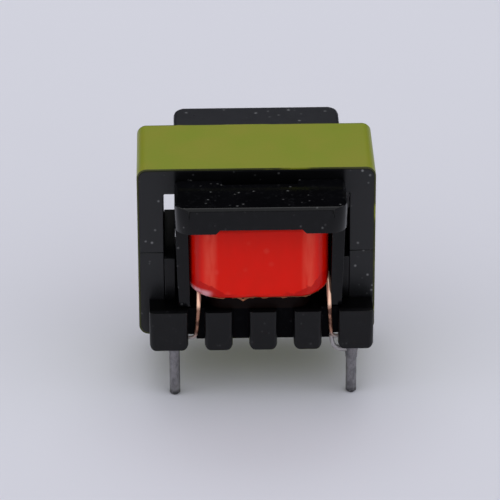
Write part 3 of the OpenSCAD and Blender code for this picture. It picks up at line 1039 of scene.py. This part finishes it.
for corner, place in CORNERS.items():
    bm = bmesh.new()
    sweep(bm, lead_path(*place), lead_radius)
    settle(corner + "_wire", bm, lead_copper, "copper", corner + "_lead", crease=80)
print("leads:", len(CORNERS), "wire", 2 * WIRE_R, "mm")

# %% [markdown]
# ## The tail of the front right lead
# One lead's end is left longer than the others: it dips below the tooth and meets its
# pin there, under a growing coat of tin. It could be part of the lead's path, but the
# wire there turns sharply into the end tooth, so a short wire of its own, in the same
# finish, is cleaner.

# %% Tail
TAIL_R = 0.13
TAIL_TIN = 0.1
tail = [
    (SLOT_X + 0.09, SLOT_Y, 0.7),
    (SLOT_X + 0.13, SLOT_Y - 0.05, 0.25),
    (SLOT_X + 0.24, SLOT_Y - 0.13, -0.1),
    (PIN_X - 0.7, PIN_Y + 0.28, -0.36),
    (PIN_X - 0.2, PIN_Y + 0.05, -0.42),
]
tail = smooth_path([Vector((x, -y, z)) for x, y, z in tail])
bm = bmesh.new()
sweep(bm, tail, lambda t: TAIL_R + TAIL_TIN * t**3)
settle("front_right_tail", bm, lead_copper, "tinned", crease=80)
print("tail:", len(tail), "rings")

# %% [markdown]
# ## The last turns of the winding
# Under the red film's drawn-in edge the lowest turns of wire peep out here and there.
# A whole winding would stay hidden, so only two closed loops are made, which follow
# the coil's outline just inside the film. A smooth noise lifts them behind the film
# and lets them sag again, so only short bits show.

# %% Peeping turns
PEEP_R = 0.07
PEEP_Z = tape_low.z + 0.19
PEEP_SAG = 0.3
PEEP_PACE = 2.2
PEEP_STEP = 0.18
CORNER_STEPS = 8


def outline_loop(inset, seed):
    """A closed run round the coil, its corners round, its height wandering."""
    points = []
    radius = CORNER - inset
    for quarter in range(4):
        side_x = 1 if quarter in (0, 3) else -1
        side_y = 1 if quarter in (0, 1) else -1
        for i in range(CORNER_STEPS + 1):
            angle = math.pi / 2 * (quarter + i / CORNER_STEPS)
            x = middle.x + side_x * half_x + radius * math.cos(angle)
            y = side_y * half_y + radius * math.sin(angle)
            points.append(Vector((x, y, PEEP_Z)))
    dense = []
    for a, b in zip(points, points[1:] + points[:1]):
        steps = max(1, int((b - a).length / PEEP_STEP))
        dense += [a.lerp(b, i / steps) for i in range(steps)]
    for p in dense:
        p.z -= PEEP_SAG * noise.noise(Vector((p.x * PEEP_PACE, p.y * PEEP_PACE, seed)))
    return dense


bm = bmesh.new()
for inset, seed in ((0.46, 2.0), (0.64, 7.0)):
    loop = outline_loop(inset, seed)
    sweep(bm, loop, lambda t: PEEP_R, closed=True)
    print("peeping turn:", len(loop), "rings")
settle("peeping_turns", bm, wound_copper, "copper", crease=80)

# %% [markdown]
# ## The floor
# The part stands on its pin tips on a plain pale card. A curved backdrop isn't needed,
# because the camera looks down and sees nothing but floor. So the card is one large
# face, with two near tints that drift into each other.

# %% Floor
FLOOR_HALF = 2.5

bm = bmesh.new()
bmesh.ops.create_grid(bm, x_segments=1, y_segments=1, size=FLOOR_HALF)
bmesh.ops.translate(bm, vec=(0, 0, cad_box[0][2]), verts=bm.verts)
mesh = bpy.data.meshes.new("floor")
bm.to_mesh(mesh)
bm.free()
floor = bpy.data.objects.new("floor", mesh)
bpy.context.scene.collection.objects.link(floor)
f = Finish("floor_card")
tint = f.blend(f.noise(0.05, detail=2), (0.70, 0.695, 0.77), (0.715, 0.71, 0.785))
mesh.materials.append(f.set(Base_Color=tint, Roughness=0.9))
print("floor at", round(cad_box[0][2] / MM, 3), "mm")

# %% [markdown]
# ## The light tent
# Small products are lit in a white tent, which gives soft light from nearly everywhere.
# A tent could be modelled, but the world does the same and needs no mesh. It is bright
# overhead all round, and in front it is bright further down. Low down behind it is
# dark, because the tops of the black pieces mirror that part of it to the camera, and
# they are to stay deep black.

# %% Tent
TENT_COLOUR = (0.96, 0.98, 1)
TENT_STRENGTH = 1.13
TENT_DARKEST = 0.01
BEHIND = (0.6, 0.9)
IN_FRONT = (-0.08, 0.5)
BACK_TO_FRONT = (0.25, -0.35)


def make_tent(name, strength):
    """A world whose brightness depends on the height and on front or back."""
    world = bpy.data.worlds.new(name)
    world.use_nodes = True
    tent = Wiring(world.node_tree)
    where = tent.node("TexCoord", {}, {}, out="Generated")
    height = tent.node("SeparateXYZ", {}, {"Vector": where}, out="Z")
    depth = tent.node("SeparateXYZ", {}, {"Vector": where}, out="Y")
    front = depth.step(*BACK_TO_FRONT)
    glow = tent.node("Mix", {}, {0: front, 2: height.step(*BEHIND), 3: height.step(*IN_FRONT)})
    background = tent.nodes["Background"]
    tent.put(background.inputs["Color"], TENT_COLOUR)
    tent.put(
        background.inputs["Strength"], glow.math("MULTIPLY_ADD", strength, TENT_DARKEST)
    )
    return world


bpy.context.scene.world = make_tent("tent", TENT_STRENGTH)
bpy.context.scene.view_settings.view_transform = "Standard"
print("tent nodes:", len(bpy.context.scene.world.node_tree.nodes))

# %% [markdown]
# ## Panels
# The tent alone leaves every edge equally soft. One wide panel above and behind adds
# light from one direction, and a panel at each side, slightly forward and low, gives
# the red film its upright highlights. Spotlights would draw hard shadows, so these are
# area lights, whose size keeps the shadows soft.

# %% Panels
LOOK_AT = Vector((0, 0, 4)) * MM


def panel(name, place, size, power):
    """A soft square light at a place in millimetres, facing the part."""
    light = bpy.data.lights.new(name, "AREA")
    light.size = size * MM
    light.energy = power
    lamp = bpy.data.objects.new(name, light)
    lamp.location = Vector(place) * MM
    aim = LOOK_AT - lamp.location
    lamp.rotation_euler = aim.to_track_quat("-Z", "Y").to_euler()
    bpy.context.scene.collection.objects.link(lamp)
    print(name, size, "mm wide")


panel("overhead_panel", (0, 135, 205), size=150, power=0.09)
panel("left_panel", (-220, -30, 60), size=110, power=0.028)
panel("right_panel", (220, -30, 60), size=110, power=0.028)

# %% [markdown]
# ## The CAD part's box
# The CAD part's box, measured on its pieces before any was dressed, is written down.

# %% The CAD part's box
print("CAD box", cad_box)
